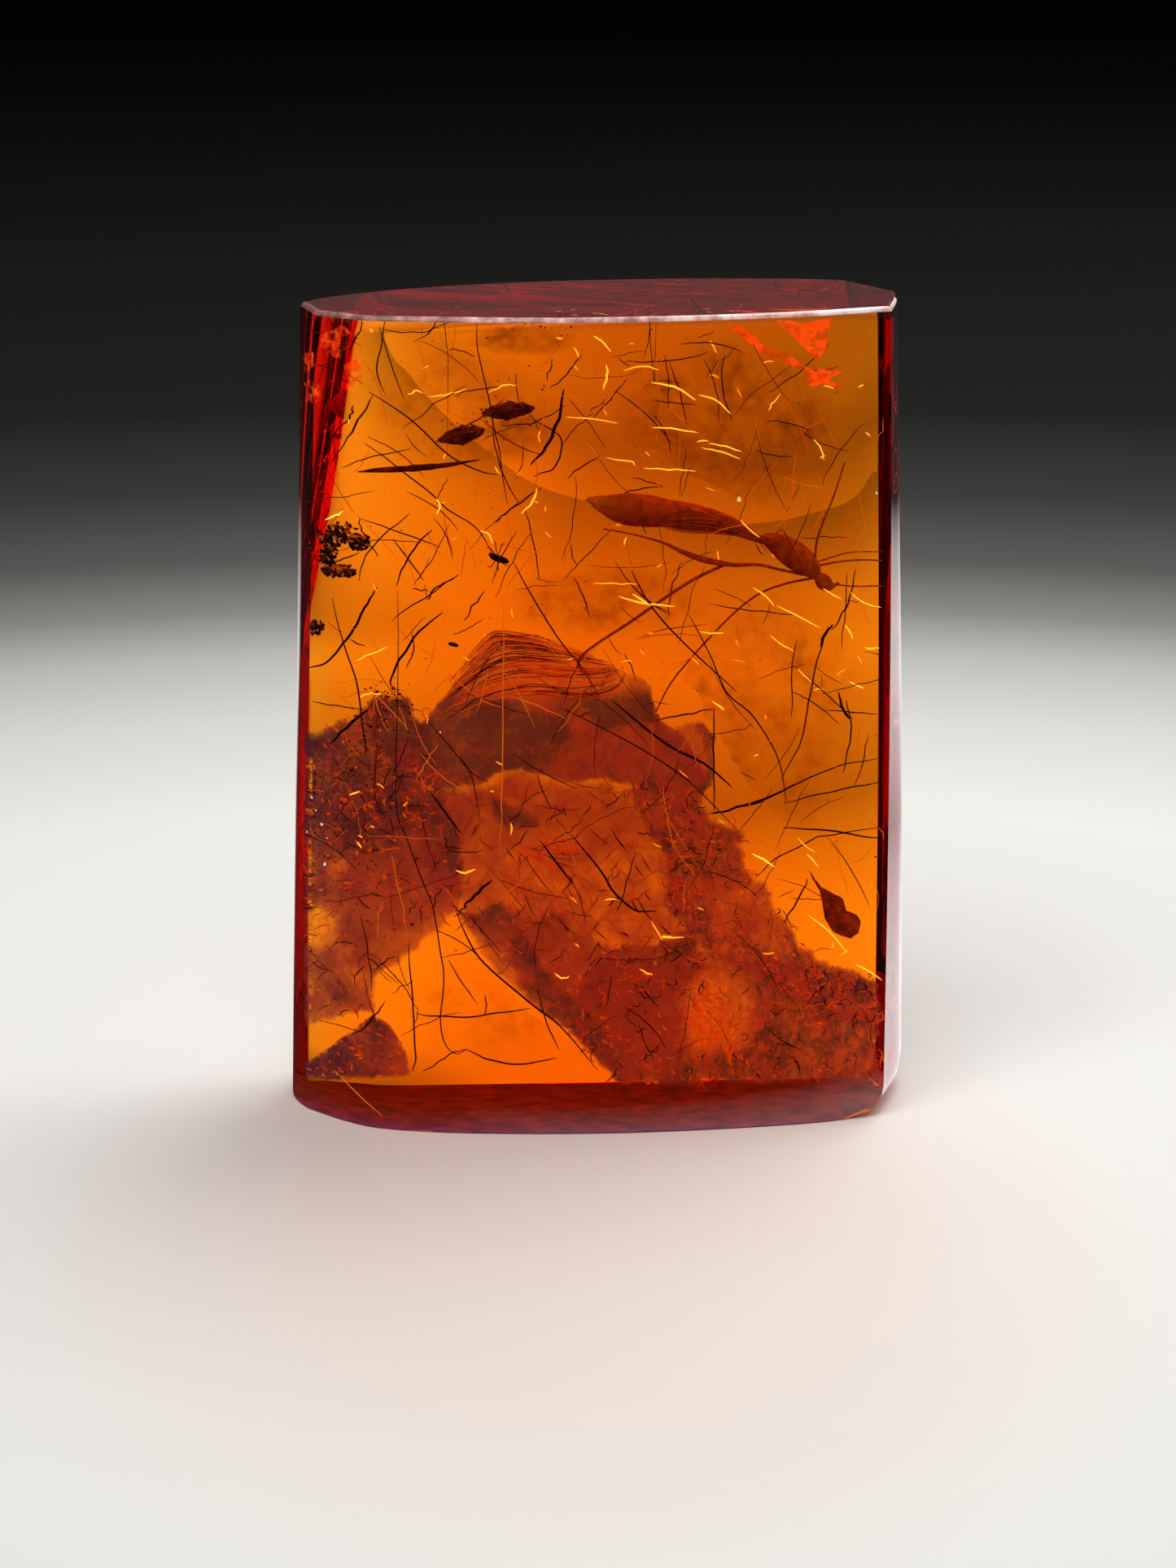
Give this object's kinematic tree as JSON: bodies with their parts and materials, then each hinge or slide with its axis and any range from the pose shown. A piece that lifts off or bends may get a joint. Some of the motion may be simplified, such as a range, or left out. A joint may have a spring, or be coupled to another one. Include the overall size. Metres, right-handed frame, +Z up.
{
  "type": "insect in amber",
  "caption": "Polished upright block of clear orange amber with a crane fly, a torn bark film, plant scraps and soil sealed inside.",
  "frame": {"origin": "middle of the foot of the block: the centre of its bounding box, on the surface that it stands on", "axes": "+Z up the block, -Y out of the broad polished face that shows the insect, +X to its right, with the thin edge at -X"},
  "size_m": [0.0268, 0.012, 0.035],
  "materials": {
    "amber": "polished clear orange amber",
    "insect": "dark red-brown fossil insect",
    "bark": "thin cracked red-brown bark film",
    "leaf": "dark torn leaf",
    "wood": "dark wood needle",
    "husk": "dark bud husk",
    "soil": "black crumbly soil"
  },
  "bodies": {
    "root": {"amber_front": "amber", "amber_back": "amber", "crane_fly": "insect", "bark_film": "bark", "leaf_scrap": "leaf", "splinter": "wood", "husk_left": "husk", "husk_right": "husk", "soil_clot": "soil", "soil_crumb": "soil"}
  },
  "joints": []
}
